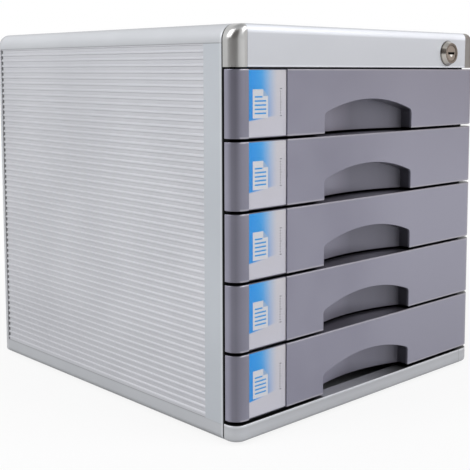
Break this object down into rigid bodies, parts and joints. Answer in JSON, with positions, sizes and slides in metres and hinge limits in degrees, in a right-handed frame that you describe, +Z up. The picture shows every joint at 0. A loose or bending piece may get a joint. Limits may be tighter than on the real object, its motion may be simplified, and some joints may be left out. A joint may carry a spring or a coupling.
{
  "type": "desktop file drawer",
  "caption": "Silver desktop cabinet with grey sliding drawers for paper, a deep fascia with chrome corner caps and a key lock that bars every drawer.",
  "frame": {"origin": "middle of the footprint at the level of the feet's undersides, on the surface it stands on", "axes": "+Z up, the drawers open towards -Y, +X is to the right seen from the front"},
  "size_m": [0.3, 0.337, 0.3085],
  "materials": {
    "cover_aluminium": "satin silver anodised sheet",
    "ribbed_aluminium": "satin silver anodised extrusion with level ribs",
    "silver_plastic": "silver moulded ring",
    "back_sheet_metal": "light grey satin paint",
    "screw_steel": "zinc plated",
    "foot_rubber": "matt black",
    "fascia_aluminium": "satin silver anodised",
    "lip_aluminium": "satin silver anodised",
    "cap_chrome": "polished",
    "runner_plastic": "dark grey",
    "lock_chrome": "polished",
    "lock_brass": "turned",
    "plug_nickel": "nickel plated face",
    "bar_steel": "zinc plated strip",
    "drawer_front_plastic": "fine satin grey with a violet cast",
    "drawer_tray_plastic": "fine satin grey",
    "card_paper": "printed card, blue fading to pale grey",
    "clear_window": "clear sheet"
  },
  "bodies": {
    "case": {"top_cover": "cover_aluminium", "bottom_cover": "cover_aluminium", "left_side_panel": "ribbed_aluminium", "right_side_panel": "ribbed_aluminium", "rear_frame": "silver_plastic", "back_panel": "back_sheet_metal", "back_screws": "screw_steel", "rubber_feet": "foot_rubber", "front_fascia": "fascia_aluminium", "left_fascia_cap": "cap_chrome", "right_fascia_cap": "cap_chrome", "base_front_lip": "lip_aluminium", "left_runner_frame": "runner_plastic", "right_runner_frame": "runner_plastic", "lock_bezel": "lock_chrome", "lock_housing": "lock_brass", "lock_nut": "screw_steel"},
    "lock_plug": {"lock_plug": "plug_nickel", "lock_cam": "bar_steel"},
    "lock_bar": {"lock_bar": "bar_steel"},
    "drawer_1": {"drawer_front_1": "drawer_front_plastic", "drawer_tray_1": "drawer_tray_plastic", "drawer_catch_1": "bar_steel", "label_card_1": "card_paper", "label_window_1": "clear_window", "front_screws_1": "screw_steel"},
    "drawer_2": {"drawer_front_2": "drawer_front_plastic", "drawer_tray_2": "drawer_tray_plastic", "drawer_catch_2": "bar_steel", "label_card_2": "card_paper", "label_window_2": "clear_window", "front_screws_2": "screw_steel"},
    "drawer_3": {"drawer_front_3": "drawer_front_plastic", "drawer_tray_3": "drawer_tray_plastic", "drawer_catch_3": "bar_steel", "label_card_3": "card_paper", "label_window_3": "clear_window", "front_screws_3": "screw_steel"},
    "drawer_4": {"drawer_front_4": "drawer_front_plastic", "drawer_tray_4": "drawer_tray_plastic", "drawer_catch_4": "bar_steel", "label_card_4": "card_paper", "label_window_4": "clear_window", "front_screws_4": "screw_steel"},
    "drawer_5": {"drawer_front_5": "drawer_front_plastic", "drawer_tray_5": "drawer_tray_plastic", "drawer_catch_5": "bar_steel", "label_card_5": "card_paper", "label_window_5": "clear_window", "front_screws_5": "screw_steel"}
  },
  "joints": [
    {"name": "drawer_1_slide", "type": "slide", "parent": "case", "child": "drawer_1", "axis": [0, -1, 0], "range_m": [0, 0.265]},
    {"name": "drawer_2_slide", "type": "slide", "parent": "case", "child": "drawer_2", "axis": [0, -1, 0], "range_m": [0, 0.265]},
    {"name": "drawer_3_slide", "type": "slide", "parent": "case", "child": "drawer_3", "axis": [0, -1, 0], "range_m": [0, 0.265]},
    {"name": "drawer_4_slide", "type": "slide", "parent": "case", "child": "drawer_4", "axis": [0, -1, 0], "range_m": [0, 0.265]},
    {"name": "drawer_5_slide", "type": "slide", "parent": "case", "child": "drawer_5", "axis": [0, -1, 0], "range_m": [0, 0.265]},
    {"name": "lock_turn", "type": "hinge", "parent": "case", "child": "lock_plug", "pos_m": [0.1061, -0.16405, 0.2901], "axis": [0, -1, 0], "range_deg": [0, 90]},
    {"name": "lock_bar_lift", "type": "slide", "parent": "case", "child": "lock_bar", "axis": [0, 0, 1], "range_m": [0, 0.01131]}
  ],
  "couplings": [
    {"joint": "lock_turn", "follows": "lock_bar_lift", "rad_per_m": 138.84}
  ]
}
